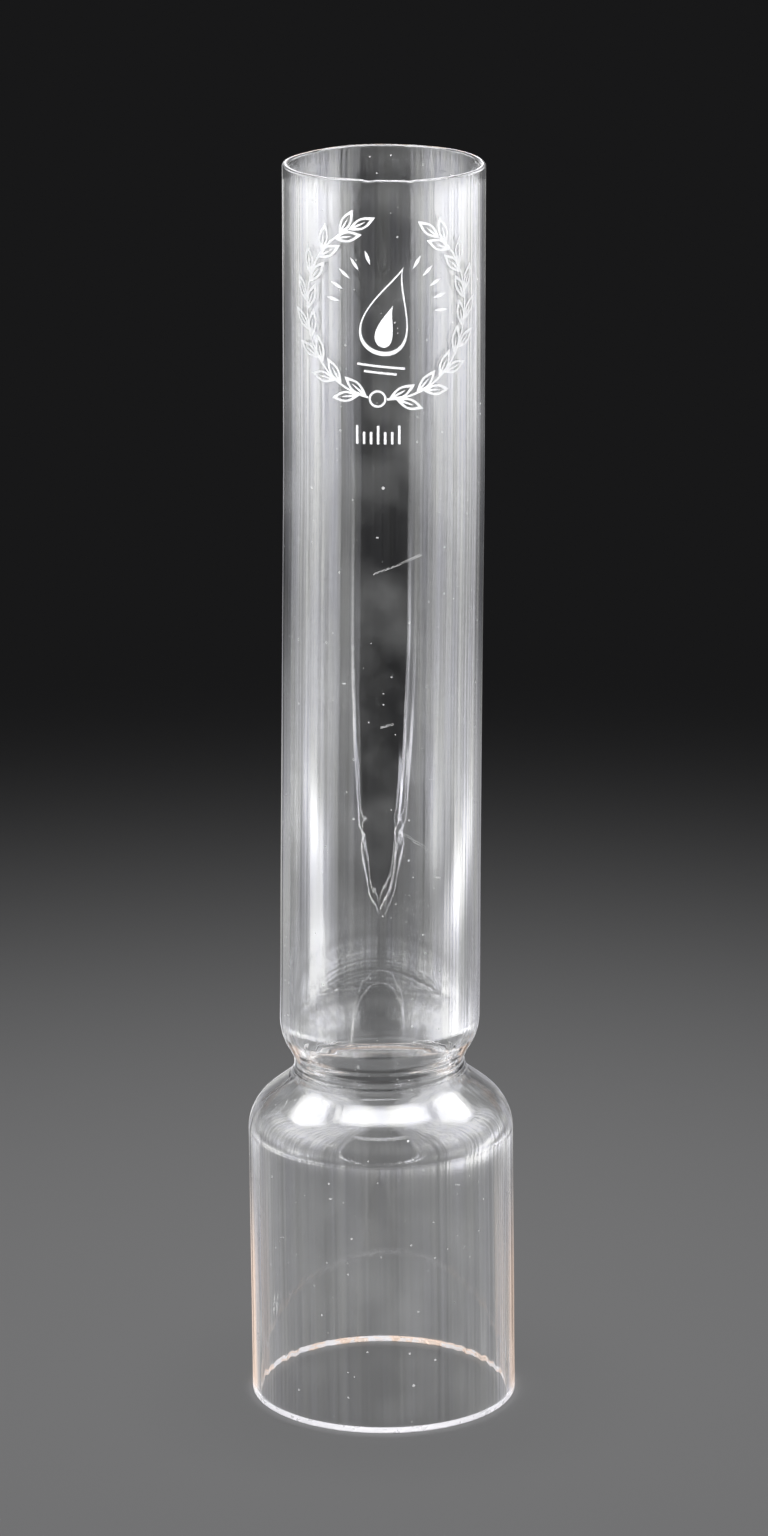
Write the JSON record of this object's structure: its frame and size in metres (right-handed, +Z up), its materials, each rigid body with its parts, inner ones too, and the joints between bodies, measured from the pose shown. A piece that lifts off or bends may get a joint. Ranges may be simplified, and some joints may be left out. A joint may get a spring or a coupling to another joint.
{
  "type": "oil lamp chimney",
  "caption": "Clear blown-glass chimney for a round-wick oil lamp: wide straight base, pinched neck and tall open tube with a frosted stamped mark near the top.",
  "frame": {"origin": "centre of the base rim, on the plane that the chimney stands on", "axes": "+Z up the chimney's axis to its top rim; -Y is the side that carries the stamped mark"},
  "size_m": [0.047, 0.047, 0.2225],
  "materials": {
    "clear_glass": "polished",
    "frosted_stamp": "matte"
  },
  "bodies": {
    "root": {"glass_chimney": "clear_glass", "stamped_wreath": "frosted_stamp", "stamped_ticks": "frosted_stamp"}
  },
  "joints": []
}
